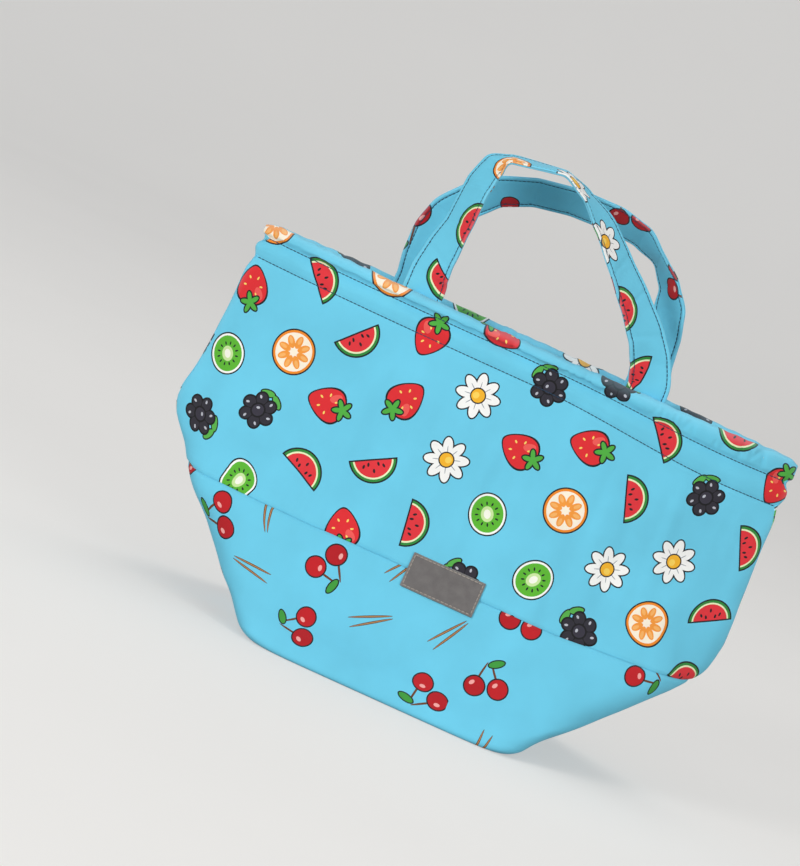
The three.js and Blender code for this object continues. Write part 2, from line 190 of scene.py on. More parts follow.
def wall_reach(x, z, inset):
    """How far the wall stands from the plane of the side seams."""
    a, b, p, q = section(z, inset)
    return SEAM_GAP / 2 + b * (1 - np.minimum(np.abs(x) / a, 1) ** p) ** (1 / q)


def waves(u, v, wavelength, seed, count=14):
    """Smooth unevenness between about -1 and 1, the same on every run."""
    dice = np.random.default_rng(seed)
    total = 0
    for _ in range(count):
        angle = dice.uniform(0, math.pi)
        length = wavelength * dice.uniform(0.7, 1.6)
        phase = dice.uniform(0, 2 * math.pi)
        total = total + np.cos((u * math.cos(angle) + v * math.sin(angle)) * 2 * math.pi / length + phase)
    return total / math.sqrt(count)


# How far the settled cloth moved, for each side, over its grid of shares and heights
settled = {}
SETTLE_LOW, SETTLE_HIGH = 8.0, 228.0
SETTLE_CAP = 7.0
# The foam holds the cloth, so it moves less than the loose cloth does
SETTLE_HELD = 0.65


def grid_sample(field, column, row):
    """Smooth value of a coarse grid at places between its points."""
    rows, columns = field.shape[:2]
    base_row, base_column = np.floor(row), np.floor(column)
    total = 0
    for i in range(-1, 3):
        for j in range(-1, 3):
            weight = 1
            for offset, part in ((i, row - base_row), (j, column - base_column)):
                away = np.abs(part - offset)
                near = 2 / 3 - away ** 2 + away ** 3 / 2
                far = np.clip(2 - away, 0, 2) ** 3 / 6
                weight = weight * np.where(away < 1, near, far)
            r = np.clip(base_row + i, 0, rows - 1).astype(int)
            c = np.clip(base_column + j, 0, columns - 1).astype(int)
            total = total + weight[..., None] * field[r, c]
    return total


def soften(points, side, share):
    """Moves points of any wall layer the way that the soft wall hangs and dents.

    share runs from -1 at the left side seam to 1 at the right one.
    """
    x, y, z = points[..., 0], points[..., 1], points[..., 2]
    sideways = smooth((np.abs(x) / np.interp(z, WIDTH_HEIGHTS, HALF_WIDTHS) - 0.35) / 0.5)
    held = smooth((z - 10) / 40)
    seam_free = smooth((1 - np.abs(share)) / 0.25)
    rim_free = smooth((238 - z) / 40)
    out = points.copy()
    # Each side's own bulges and hollows, in millimetres to the right, as the photograph shows them
    left_sag = -3.0 * nearness(z, 130, 16) + 4.0 * nearness(z, 96, 10) - 1.2 * nearness(z, 0, 11)
    left_sag += 4.5 * smooth((z - 10) / 18) * smooth((78 - z) / 22)
    right_sag = 5.0 * smooth((z - 45) / 40) * smooth((118 - z) / 25) + 2.5 * nearness(z, 0, 11)
    rim_reach = np.sign(x) * 1.8 * smooth((z - 190) / 50)
    out[..., 0] += sideways * (np.where(x < 0, left_sag, right_sag) + rim_reach)
    dents = 1.8 * waves(x, z, 105, 11 if side < 0 else 12) + 0.6 * waves(x, z, 48, 13 if side < 0 else 14)
    out[..., 1] += side * dents * held * seam_free * rim_free
    corner = smooth((np.abs(x) - 196) / 8) * smooth((z - 240) / 16)
    out[..., 2] -= np.where(x < 0, 0.6, 1.0) * corner
    if settled:
        field = settled[side]
        rows, columns = field.shape[:2]
        row = (z - SETTLE_LOW) / (SETTLE_HIGH - SETTLE_LOW) * (rows - 1)
        moved = grid_sample(field, (share + 1) / 2 * (columns - 1), np.clip(row, 0, rows - 1))
        moved[..., 0] *= smooth((1 - np.abs(share)) / 0.3)
        out += SETTLE_HELD * moved
    return out


def sewn_higher(x, z):
    """How much higher than level the rim lines and the print seam run, as the hand-guided cloth was sewn."""
    first_line = 5.2 - 6.2 * smooth((x - 20) / 150)
    second_line = 7.2 - 10 * smooth((x - 15) / 150)
    print_seam = -1.8 - 2.6 * smooth((-60 - x) / 110) + 2.6 * smooth((x - 70) / 90)
    to_first = smooth((z - SECOND_LINE_HEIGHT) / (FIRST_LINE_HEIGHT - SECOND_LINE_HEIGHT))
    at_rim = mix(second_line, first_line, to_first) * smooth((z - 190) / 30) * smooth((256 - z) / 9)
    return at_rim + print_seam * smooth((48 - abs(z - PRINT_SEAM_HEIGHT)) / 36)


def wall(side, rows, share):
    """Points, flat pattern and level heights of one half of a wall layer, from rows of (z, inset, reach).

    The inset is from the wall's outer face, and reach is how much of the half-depth a base row keeps.
    """
    share = np.asarray(share, float)
    points = np.zeros((len(rows), len(share), 3))
    flat = np.zeros((len(rows), len(share), 2))
    for r, (z, inset, reach) in enumerate(rows):
        # Each place lies between the nearest two of five level sections, because sewn lines run off level
        higher = sewn_higher(share * half_width(z), z)
        lowest, highest = z + higher.min(), z + higher.max()
        places = []
        for level in np.linspace(lowest, highest, 5 if highest > lowest else 1):
            along, x, y = quarter(min(level, BAG_HEIGHT), inset)
            wanted = (1 - np.abs(share)) * along[-1]
            places.append((np.interp(wanted, along, x), np.interp(wanted, along, y), share * along[-1]))
        places = np.array(places)
        step = (higher - higher.min()) / max(highest - lowest, 1e-9) * (len(places) - 1)
        below = np.minimum(step.astype(int), max(len(places) - 2, 0))
        above = np.minimum(below + 1, len(places) - 1)
        column = np.arange(len(share))
        across, out, run = mix(places[below, :, column].T, places[above, :, column].T, step - below)
        points[r, :, 0] = np.sign(share) * across
        points[r, :, 1] = side * (SEAM_GAP / 2 + np.minimum(out, out.max() * reach))
        points[r, :, 2] = z + higher
        flat[r, :, 0] = run
        flat[r, :, 1] = higher
    soft = soften(points, side, np.broadcast_to(share, points.shape[:2]))
    level_rows = np.array([(side * wall_reach(0, min(z, BAG_HEIGHT), inset) * reach, z) for z, inset, reach in rows])
    steps = np.linalg.norm(np.diff(level_rows, axis=0), axis=1)
    flat[:, :, 1] -= np.concatenate([[0], np.cumsum(steps)])[:, None]
    return soft, flat, np.repeat(level_rows[:, 1:], len(share), axis=1)


def grid_mesh(name, points):
    """A mesh of four-sided faces through a grid of points in millimetres."""
    rows, columns = points.shape[:2]
    bm = bmesh.new()
    bmesh.ops.create_grid(bm, x_segments=columns - 1, y_segments=rows - 1, size=0.5)
    mesh = bpy.data.meshes.new(name)
    bm.to_mesh(mesh)
    bm.free()
    mesh.vertices.foreach_set("co", (points * MM).reshape(-1))
    mesh.update()
    return mesh


def weld(mesh, distance, turn_outwards=False):
    """Joins the points of a mesh that lie closer than a distance in millimetres."""
    bm = bmesh.new()
    bm.from_mesh(mesh)
    bmesh.ops.remove_doubles(bm, verts=bm.verts, dist=distance * MM)
    if turn_outwards:
        bmesh.ops.recalc_face_normals(bm, faces=bm.faces)
    bm.to_mesh(mesh)
    bm.free()


def settle_wall():
    """Lets a coarse copy of the wall settle as heavy cloth, and keeps how far each of its points moved."""
    columns, rows = 65, 46
    share = np.linspace(-1, 1, columns)
    heights = [(z, HALF_WALL, 1.0) for z in np.linspace(SETTLE_LOW, SETTLE_HIGH, rows)]
    halves = {side: wall(side, heights, share)[0] for side in (-1, 1)}
    for side in halves:
        halves[side][:, [0, -1], 1] = 0
    mesh = grid_mesh("settling_wall", np.concatenate([halves[-1], halves[1][:, ::-1][:, 1:]], axis=1))
    weld(mesh, 0.2, turn_outwards=True)
    cloth = bpy.data.objects.new("settling_wall", mesh)
    bpy.context.scene.collection.objects.link(cloth)
    rest = np.array([vert.co for vert in mesh.vertices]) / MM
    pins = cloth.vertex_groups.new(name="sewn")
    for index, place in enumerate(rest):
        rim_pin = smooth((place[2] - 208) / 18)
        base_pin = smooth((22 - place[2]) / 12)
        seam_pin = 0.6 * smooth((4 - abs(place[1])) / 4)
        pins.add([index], float(max(rim_pin, base_pin, seam_pin)), "REPLACE")
    settings = cloth.modifiers.new("cloth", "CLOTH").settings
    settings.quality = 6
    settings.mass = 0.4
    settings.tension_stiffness = settings.compression_stiffness = 18
    settings.shear_stiffness = 8
    settings.bending_stiffness = 1.2
    settings.air_damping = 3
    settings.shrink_min = -0.022
    settings.vertex_group_mass = "sewn"
    settings.use_pressure = True
    settings.uniform_pressure_force = 0.25
    scene = bpy.context.scene
    for step in range(1, 31):
        scene.frame_set(step)
    shaped = cloth.evaluated_get(bpy.context.evaluated_depsgraph_get()).to_mesh()
    moved = np.array([vert.co for vert in shaped.vertices]) / MM - rest
    tree = KDTree(len(rest))
    for index, place in enumerate(rest):
        tree.insert(place, index)
    tree.balance()
    for side, half in halves.items():
        field = np.zeros(half.shape)
        for r in range(rows):
            fade = float(smooth(r / 5) * smooth((rows - 1 - r) / 6))
            for c in range(columns):
                shift = moved[tree.find(half[r, c])[1]]
                size = np.linalg.norm(shift)
                field[r, c] = shift * fade * (SETTLE_CAP * math.tanh(size / SETTLE_CAP) / max(size, 1e-6))
        settled[side] = field
    scene.frame_set(1)
    bpy.data.objects.remove(cloth)


def share_at(x, z):
    """Share of the way from the middle to a side seam, at one distance from the middle."""
    along, across, _ = quarter(z, 0)
    from_seam = np.interp(-np.abs(x), -across, along)
    return np.sign(x) * (1 - from_seam / along[-1])


def allowance(grids, normals, depth=1.5):
    """Turns the lower and side edges of a cloth inwards, as its seam allowances go, with the print running on."""
    points, *others = grids
    low = points[-1] - normals[-1] * depth
    low[:, 2] = points[-1, :, 2]
    points = np.concatenate([points, low[None]])
    for column in (0, -1):
        turned = points[:, column].copy()
        turned[:, 0] -= np.sign(turned[:, 0]) * depth
        turned[:, 1] *= 0.3
        turned[:, 2] = np.maximum(turned[:, 2], 1.2)
        points = np.insert(points, 0 if column == 0 else points.shape[1], turned, axis=1)
    padded = [np.pad(grid, [(0, 1), (1, 1)] + [(0, 0)] * (grid.ndim - 2), "edge") for grid in others]
    padded[0][:, 0] += 5 * (padded[0][:, 1] - padded[0][:, 2])
    padded[0][:, -1] += 5 * (padded[0][:, -2] - padded[0][:, -3])
    return [points] + padded


def patch(side, heights, columns, insets):
    """Points that follow the wall at given distances from the middle and heights."""
    points = np.zeros((len(heights), len(columns), 3))
    share = np.zeros((len(heights), len(columns)))
    for r, z in enumerate(heights):
        points[r, :, 0] = columns
        points[r, :, 1] = side * wall_reach(np.asarray(columns, float), z, float(np.mean(insets[r])))
        points[r, :, 1] -= side * (insets[r] - np.mean(insets[r]))
        points[r, :, 2] = z
        share[r] = share_at(np.asarray(columns, float), z)
    return soften(points, side, share)


def half_thickness(z):
    """Half of the whole wall's thickness, which the rim's stitch lines squeeze."""
    if z <= THICKNESS_HEIGHTS[0]:
        return HALF_WALL
    above = next(i for i, mark in enumerate(THICKNESS_HEIGHTS) if z <= mark + 1e-6)
    low, high = THICKNESS_HEIGHTS[above - 1], THICKNESS_HEIGHTS[above]
    share = float(smooth((z - low) / (high - low)))
    return mix(HALF_THICKNESSES[above - 1], HALF_THICKNESSES[above], share)


def outer_rows(heights, inset=0.0):
    """Rows of the wall's outer face."""
    return [(z, HALF_WALL - half_thickness(z) + inset, 1.0) for z in heights]


def inner_rows(heights, inset=0.0):
    """Rows of the wall's inner face."""
    return [(z, HALF_WALL + half_thickness(z) - inset, 1.0) for z in heights]


def roll_rows(inset, angles):
    """Rows round the rim's roll, from angle 0 on its outer side."""
    radius = ROLL_RADIUS - inset
    return [(ROLL_CENTRE_HEIGHT + radius * math.sin(a), HALF_WALL - radius * math.cos(a), 1.0) for a in angles]


def base_rows(depth, arc_steps, floor_steps):
    """Rows round the edge of the base and on to the seam across its middle."""
    radius = BASE_EDGE_RADIUS - depth
    arc = [(BASE_EDGE_RADIUS - radius * math.cos(a), BASE_EDGE_RADIUS - radius * math.sin(a), 1.0)
           for a in np.linspace(math.pi / 2, 0, arc_steps)]
    z, inset, _ = arc[-1]
    return arc + [(z, inset, float(r)) for r in np.linspace(1, 0, floor_steps + 1)[1:]]


def seam_shares(count):
    """Columns from one side seam to the other, finer close to the seams."""
    fine = 1 - np.array([0, 0.0015, 0.003, 0.005, 0.0075, 0.011, 0.016])
    even = np.linspace(-0.975, 0.975, count)
    return np.concatenate([-fine, even, fine[::-1]])


def normals_of(points):
    down = np.gradient(points, axis=0)
    along = np.gradient(points, axis=1)
    normal = np.cross(down, along)
    return normal / np.maximum(np.linalg.norm(normal, axis=2, keepdims=True), 1e-9)


def raise_by(points, outward, amount):
    """Moves each point of a grid along its normal, which is turned to agree with outward."""
    normal = normals_of(points)
    middle = normal[points.shape[0] // 2, points.shape[1] // 2]
    sign = 1 if np.dot(middle, outward) > 0 else -1
    return points + sign * normal * amount[..., None], sign * normal


def shown(name, mesh, material):
    """Puts a mesh in the scene, smooth and of one material."""
    mesh.shade_smooth()
    mesh.materials.append(material)
    piece = bpy.data.objects.new(name, mesh)
    bpy.context.scene.collection.objects.link(piece)
    return piece


def sheet(name, points, flat, outward, material, body, nodes, thickness=0.0, wear=None, closes=False):
    """A sheet from a grid of points, faces towards outward at its middle, with its flat pattern as UV map."""
    rows, columns = points.shape[:2]
    mesh = grid_mesh(name, points)
    corner_vertex = np.zeros(len(mesh.loops), int)
    mesh.loops.foreach_get("vertex_index", corner_vertex)
    layer = mesh.uv_layers.new(name="flat_mm")
    layer.data.foreach_set("uv", flat.reshape(-1, 2)[corner_vertex].reshape(-1))
    worn = mesh.attributes.new("wear", "FLOAT", "POINT")
    worn.data.foreach_set("value", (np.zeros(rows * columns) if wear is None else wear).reshape(-1))
    middle = mesh.polygons[(rows // 2) * (columns - 1) + columns // 2]
    if middle.normal.dot(Vector(outward)) < 0:
        mesh.flip_normals()
    if closes:
        weld(mesh, 0.04)
    piece = shown(name, mesh, material)
    if thickness:
        solid = piece.modifiers.new("thickness", "SOLIDIFY")
        solid.thickness = thickness * MM
        solid.offset = -1
    return dress(piece, body, nodes)


def dress(piece, body, nodes):
    """Gives a piece its body or its two bodies and the nodes that it stands for."""
    if isinstance(body, str):
        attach(piece, body)
    else:
        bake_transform(piece)
    if nodes:
        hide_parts(*nodes)
    return piece


# Materials

def linear(hex_colour):
    """Linear colour of an sRGB hex value."""
    parts = [int(hex_colour[i:i + 2], 16) / 255 for i in (1, 3, 5)]
    return [c / 12.92 if c <= 0.04045 else ((c + 0.055) / 1.055) ** 2.4 for c in parts] + [1]


def add(tree, kind, inputs=(), **settings):
    """Adds a node, sets its settings, and fills its inputs, in order or by name, with sockets or values."""
    node = tree.nodes.new("ShaderNode" + kind)
    for key, value in settings.items():
        setattr(node, key, value)
    pairs = inputs.items() if isinstance(inputs, dict) else enumerate(inputs)
    for key, value in pairs:
        if isinstance(value, bpy.types.Node):
            value = value.outputs[0]
        if isinstance(value, bpy.types.NodeSocket):
            tree.links.new(value, node.inputs[key])
        elif value is not None:
            node.inputs[key].default_value = value
    return node


def new_material(name):
    material = bpy.data.materials.new(name)
    material.use_nodes = True
    material.node_tree.nodes.clear()
    return material, material.node_tree


SKY_BLUE = "#6dcce9"
INK = "#17171d"
THREAD_SPACING = 0.7


def tossed_cells(tree, flat, pitch, jitter, seed):
    """Splits the flat pattern into half-drop cells. Returns the turned place within a cell, and the cell's chance."""
    column_width = pitch * 0.9
    parts = add(tree, "SeparateXYZ", [flat.outputs["UV"]])
    across = add(tree, "Math", [parts.outputs[0], column_width], operation="DIVIDE")
    column = add(tree, "Math", [across], operation="FLOOR")
    odd = add(tree, "Math", [column, 2.0], operation="FLOORED_MODULO")
    drop = add(tree, "Math", [odd, 0.5], operation="MULTIPLY")
    up = add(tree, "Math", [parts.outputs[1], 1 / pitch, drop], operation="MULTIPLY_ADD")
    row = add(tree, "Math", [up], operation="FLOOR")
    cell = add(tree, "CombineXYZ", [column, row, seed])
    dice = add(tree, "TexWhiteNoise", [cell])
    more = add(tree, "VectorMath", [cell, (17.3, 5.1, 2.7)], operation="ADD")
    more_dice = add(tree, "TexWhiteNoise", [more])
    inside = add(tree, "CombineXYZ", [add(tree, "Math", [way], operation="FRACT") for way in (across, up)] + [0.5])
    centred = add(tree, "VectorMath", [inside, (0.5, 0.5, 0.5)], operation="SUBTRACT")
    scaled = add(tree, "VectorMath", [centred, (column_width, pitch, 0)], operation="MULTIPLY")
    spread = add(tree, "VectorMath", [more_dice.outputs["Color"], (0.5, 0.5, 0.5)], operation="SUBTRACT")
    shift = add(tree, "VectorMath", [spread, (jitter, jitter, 0)], operation="MULTIPLY")
    placed = add(tree, "VectorMath", [scaled, shift], operation="SUBTRACT")
    turn = add(tree, "Math", [dice.outputs["Value"], 2 * math.pi], operation="MULTIPLY")
    turned = add(tree, "VectorRotate", {"Vector": placed, "Angle": turn}, rotation_type="Z_AXIS")
    return turned, add(tree, "SeparateXYZ", [dice.outputs["Color"]]).outputs[1]


def print_layers(tree, ground, place, layers):
    """Lays ellipses over a colour in order: (x, y, half-length, half-height, turn, colour)."""
    colour = ground
    for x, y, long_half, short_half, turn, hex_colour in layers:
        local = add(tree, "Mapping", {
            "Vector": place, "Location": (x, y, 0), "Rotation": (0, 0, math.radians(turn)),
            "Scale": (long_half, short_half, 1)}, vector_type="TEXTURE")
        reach = add(tree, "VectorMath", [local], operation="LENGTH")
        inside = add(tree, "Math", [reach.outputs["Value"], 1.0], operation="LESS_THAN")
        colour = add(tree, "MixRGB", [inside, colour, linear(hex_colour)])
    return colour


def folded(tree, place, count):
    """Repeats the first sector of a round motif all the way round."""
    parts = add(tree, "SeparateXYZ", [place])
    radius = add(tree, "VectorMath", [place], operation="LENGTH")
    angle = add(tree, "Math", [parts.outputs[1], parts.outputs[0]], operation="ARCTAN2")
    sector = 2 * math.pi / count
    wrapped = add(tree, "Math", [angle, sector / 2, -sector / 2], operation="WRAP")
    x = add(tree, "Math", [wrapped], operation="COSINE")
    y = add(tree, "Math", [wrapped], operation="SINE")
    unit = add(tree, "CombineXYZ", [x, y, 0.0])
    return add(tree, "VectorMath", [unit, None, None, radius.outputs["Value"]], operation="SCALE")


def orange_slice(tree, ground, place):
    """A round slice with eight segments."""
    colour = print_layers(tree, ground, place, [
        (0, 0, 16, 16, 0, INK), (0, 0, 15, 15, 0, "#f08a24"), (0, 0, 13.4, 13.4, 0, "#fdf1dc")])
    return print_layers(tree, colour, folded(tree, place, 8), [(7.4, 0, 4.6, 2.5, 0, "#f59a3c"),
                                                              (8.6, 0, 2.6, 1.2, 0, "#f9b566")])


def kiwi_slice(tree, ground, place):
    """An oval slice with a ring of seeds."""
    colour = print_layers(tree, ground, place, [
        (0, 0, 15, 13.6, 0, INK), (0, 0, 14, 12.6, 0, "#fafaf5"), (0, 0, 12.6, 11.2, 0, "#5cb531"),
        (0, 0, 5.4, 4.4, 0, "#c9e6a0"), (0, 0, 3.2, 2.4, 0, "#f6f7e8")])
    return print_layers(tree, colour, folded(tree, place, 12), [(7.4, 0, 1.3, 0.6, 0, INK)])


def daisy(tree, ground, place):
    """Eight white petals round a yellow middle."""
    petals = folded(tree, place, 8)
    colour = print_layers(tree, ground, petals, [(9.2, 0, 7.4, 4.4, 0, INK)])
    colour = print_layers(tree, colour, petals, [(9.2, 0, 6.4, 3.4, 0, "#f7f7f4"), (6.8, 0, 3.0, 0.3, 0, "#9aa0a6")])
    return print_layers(tree, colour, place, [
        (0, 0, 5.6, 5.6, 0, INK), (0, 0, 4.7, 4.7, 0, "#f6b62c"), (-1, 1, 2.4, 2.2, 0, "#fbd35c")])


def strawberry(tree, ground, place):
    """A tapered berry with seeds and a leafy crown."""
    parts = add(tree, "SeparateXYZ", [place])
    taper = add(tree, "Math", [parts.outputs[1], 0.026, 1.0], operation="MULTIPLY_ADD")
    slimmer = add(tree, "Math", [parts.outputs[0], taper], operation="DIVIDE")
    tapered = add(tree, "CombineXYZ", [slimmer, parts.outputs[1], 0.0])
    colour = print_layers(tree, ground, tapered, [
        (0, -2, 12.6, 14.2, 0, INK), (0, -2, 11.4, 13.1, 0, "#de2b31"), (-5, 3, 2.8, 4.2, 20, "#ee5a55")])
    lowered = add(tree, "VectorMath", [place, (0, 1.5, 0)], operation="ADD")
    colour = print_layers(tree, colour, folded(tree, lowered, 6), [(6.4, 0, 1.2, 0.65, 0, "#f9d66b")])
    lifted = add(tree, "VectorMath", [place, (0, -10, 0)], operation="ADD")
    leaves = folded(tree, lifted, 5)
    return print_layers(tree, colour, leaves, [(3.6, 0, 4.8, 2.7, 0, INK), (3.6, 0, 3.8, 1.6, 0, "#4fae41")])


def blackberry(tree, ground, place):
    """Seven dark bumps and two leaves."""
    bumps = folded(tree, place, 6)
    colour = print_layers(tree, ground, place, [
        (-4, 13, 6, 3, 28, INK), (5, 13, 6, 3, -22, INK), (-4, 13, 5, 2.1, 28, "#57b04a"),
        (5, 13, 5, 2.1, -22, "#57b04a")])
    colour = print_layers(tree, colour, bumps, [(8.2, 0, 5.6, 5.2, 0, "#0e0e12"), (8.4, 0, 4.2, 3.9, 0, "#2c2a33"),
                                               (9.6, 1.2, 1.3, 0.8, 30, "#b9bcc6")])
    return print_layers(tree, colour, place, [(0, 0, 5.4, 5.4, 0, "#0e0e12"), (0, 0, 4.2, 4.2, 0, "#34313d"),
                                             (-1.2, 1.3, 1.3, 0.9, 35, "#b9bcc6")])


def melon_wedge(tree, ground, place):
    """Half a slice with rind and seeds."""
    parts = add(tree, "SeparateXYZ", [place])
    above = add(tree, "Math", [parts.outputs[1], -6.0], operation="GREATER_THAN")
    above_edge = add(tree, "Math", [parts.outputs[1], -4.9], operation="GREATER_THAN")
    ink = print_layers(tree, ground, place, [(0, -6, 17, 17, 0, INK)])
    body = print_layers(tree, ink, place, [
        (0, -6, 15.9, 15.9, 0, "#2f8a3a"), (0, -6, 14.2, 14.2, 0, "#e8f3c4"), (0, -6, 13.0, 13.0, 0, "#e2343c"),
        (-7, -1, 0.8, 1.5, 25, INK), (0, 2.4, 0.8, 1.5, 0, INK), (7, -1, 0.8, 1.5, -25, INK),
        (-3.4, -2.4, 0.8, 1.5, 10, INK), (3.6, -2.2, 0.8, 1.5, -12, INK)])
    edge = add(tree, "MixRGB", [above_edge, ink, body])
    return add(tree, "MixRGB", [above, ground, edge])


def cherries(tree, ground, place):
    """Two cherries on stalks with one leaf."""
    return print_layers(tree, ground, place, [
        (-5, 4, 0.8, 9.4, -24, "#6b3d22"), (5, 4, 0.8, 9.4, 24, "#6b3d22"),
        (5, 12, 6.6, 3.2, 20, INK), (5, 12, 5.6, 2.3, 20, "#3f9a3c"),
        (-8.4, -6, 8, 8, 0, INK), (8.4, -6, 8, 8, 0, INK),
        (-8.4, -6, 7, 7, 0, "#b3161f"), (8.4, -6, 7, 7, 0, "#c11a22"),
        (-10.6, -3.6, 2.2, 1.4, 40, "#f3a7a2"), (6.2, -3.6, 2.2, 1.4, 40, "#f3a7a2")])


def twigs(tree, ground, place):
    """Two thin twigs side by side."""
    return print_layers(tree, ground, place, [
        (-2.2, 0, 0.9, 16, 5, "#5b3824"), (2.2, 0, 0.9, 16, -4, "#5b3824"),
        (-2.2, 0, 0.4, 15, 5, "#b98352"), (2.2, 0, 0.4, 15, -4, "#b98352")])


def chosen(tree, chance, motifs, ground, place):
    """Shows in each cell the one motif whose share of the chances holds the cell's."""
    colour = ground
    for low, high, motif in motifs:
        drawn = motif(tree, ground, place)
        from_low = add(tree, "Math", [chance, low], operation="GREATER_THAN")
        to_high = add(tree, "Math", [chance, high], operation="LESS_THAN")
        both = add(tree, "Math", [from_low, to_high], operation="MULTIPLY")
        colour = add(tree, "MixRGB", [both, colour, drawn])
    return colour


def quilting_cotton(name, pitch, jitter, seed, motifs):
    """Quilting cotton: a matt plain weave that scatters light evenly, printed, paler where it is handled."""
    material, tree = new_material(name)
    flat = add(tree, "UVMap", uv_map="flat_mm")
    where = add(tree, "TexCoord").outputs["Object"]
    # Uneven dye, in patches about 38 mm across
    mottle = add(tree, "TexNoise", {"Vector": where, "Scale": 26.0, "Detail": 3.0})
    tone = add(tree, "MapRange", {"Value": mottle, "From Min": 0.3, "From Max": 0.7, "To Min": 0.95, "To Max": 1.04})
    ground = add(tree, "RGB")
    ground.outputs[0].default_value = linear(SKY_BLUE)
    place, chance = tossed_cells(tree, flat, pitch, jitter, seed)
    colour = chosen(tree, chance, motifs, ground, place)
    wear = add(tree, "Attribute", attribute_name="wear")
    paler = add(tree, "Math", [wear.outputs["Fac"], 0.16], operation="MULTIPLY")
    colour = add(tree, "MixRGB", [paler, colour, linear("#b9e3f2")])
    colour = add(tree, "MixRGB", [1.0, colour, tone], blend_type="MULTIPLY")
    # Real threads lie about 0.35 mm apart, and are drawn 0.7 mm apart so that they show
    warp, weft = [add(tree, "TexWave", {"Vector": flat, "Scale": 0.314 / THREAD_SPACING}, bands_direction=way)
                  for way in "XY"]
    weave = add(tree, "Math", [warp.outputs["Fac"], weft.outputs["Fac"]], operation="MULTIPLY")
    # Slubs, the thicker places of a thread, about 1.1 mm long
    slub = add(tree, "TexNoise", {"Vector": where, "Scale": 900.0, "Detail": 2.0})
    cloth = add(tree, "Math", [weave, slub], operation="ADD")
    bump = add(tree, "Bump", {"Strength": 0.16, "Distance": 0.0002, "Height": cloth})
    rough = add(tree, "MapRange", {"Value": slub, "To Min": 0.78, "To Max": 0.9})
    shader = add(tree, "BsdfPrincipled", {
        "Base Color": colour, "Roughness": rough, "Sheen Weight": 0.12, "Sheen Roughness": 0.5,
        "Specular IOR Level": 0.3, "Normal": bump})
    add(tree, "OutputMaterial", [shader])
    return material


def plain_cloth(name, hex_colour, scale, strength):
    """Unbleached cloth: fibres that stand up and scatter all light, so it is quite matt and uneven in tone."""
    material, tree = new_material(name)
    where = add(tree, "TexCoord").outputs["Object"]
    fibre = add(tree, "TexNoise", {"Vector": where, "Scale": scale, "Detail": 4.0})
    colour = add(tree, "MixRGB", [fibre, linear(hex_colour), linear("#cfcabd")])
    bump = add(tree, "Bump", {"Strength": strength, "Distance": 0.0004, "Height": fibre})
    shader = add(tree, "BsdfPrincipled", {"Base Color": colour, "Roughness": 0.95, "Normal": bump})
    add(tree, "OutputMaterial", [shader])
    return material


def polyester_thread(name, dark, light):
    """Twisted polyester thread: smooth plies with a slight shine, and a painted highlight that makes the colour lighter
    on each turn of the plies.
    """
    material, tree = new_material(name)
    where = add(tree, "TexCoord").outputs["Object"]
    # Painted highlight bands, one turn of the plies in about 0.5 mm
    painted_ply_highlight = add(tree, "TexWave", {"Vector": where, "Scale": 600.0}, bands_direction="DIAGONAL")
    # Painted highlight: the colour runs from dark between the plies to light on each turn
    colour = add(tree, "MixRGB", [painted_ply_highlight.outputs["Fac"], linear(dark), linear(light)])
    shader = add(tree, "BsdfPrincipled", {"Base Color": colour, "Roughness": 0.55, "Specular IOR Level": 0.4})
    add(tree, "OutputMaterial", [shader])
    return material


def grey_faux_leather():
    """Embossed grey faux leather: fine pebbled grain, soft sheen, rubbed lighter along its edges."""
    material, tree = new_material("embossed_grey_faux_leather")
    where = add(tree, "TexCoord").outputs["Object"]
    # Embossed pebbles about 1.1 mm across, and a cloudy finish in patches of about 6 mm
    pebble = add(tree, "TexVoronoi", {"Vector": where, "Scale": 900.0})
    cloud = add(tree, "TexNoise", {"Vector": where, "Scale": 160.0, "Detail": 5.0})
    tone = add(tree, "MixRGB", [cloud, linear("#4d4a49"), linear("#757170")])
    wear = add(tree, "Attribute", attribute_name="wear")
    rubbed = add(tree, "MixRGB", [wear.outputs["Fac"], tone, linear("#8f8a86")])
    grain = add(tree, "Math", [pebble.outputs["Distance"], cloud], operation="ADD")
    bump = add(tree, "Bump", {"Strength": 0.45, "Distance": 0.0003, "Height": grain})
    rough = add(tree, "MapRange", {"Value": cloud, "To Min": 0.5, "To Max": 0.68})
    shader = add(tree, "BsdfPrincipled", {"Base Color": rubbed, "Roughness": rough, "Normal": bump})
    add(tree, "OutputMaterial", [shader])
    return material


# The motifs of each print, with the share of the chances from and to which each one is drawn
TOSSED_FRUIT = [(-1, 0.17, orange_slice), (0.17, 0.34, daisy), (0.34, 0.5, blackberry),
                (0.5, 0.66, strawberry), (0.66, 0.83, kiwi_slice), (0.83, 2, melon_wedge)]
SPARSE_FRUIT = [(-1, 0.36, cherries), (0.36, 0.66, twigs)]
# Motifs every 49 and 52 mm, up to half of 6 and 12 mm off their places
printed_cotton = quilting_cotton("printed_quilting_cotton", 49.0, 6.0, 3.0, TOSSED_FRUIT)
accent_cotton = quilting_cotton("accent_quilting_cotton", 52.0, 12.0, 8.0, SPARSE_FRUIT)
thread = polyester_thread("navy_polyester_thread", "#0c2238", "#1d4a68")
label_thread = polyester_thread("beige_polyester_thread", "#8b8178", "#b9b0a5")
leather = grey_faux_leather()
# Tufts about 3.3 mm across in the foam's knitted skin, and threads about 1.4 mm thick in the webbing
foam = plain_cloth("needled_foam_interlining", "#ebe8e1", 300.0, 0.4)
webbing = plain_cloth("woven_cotton_webbing", "#dedad0", 700.0, 0.5)


# Threads

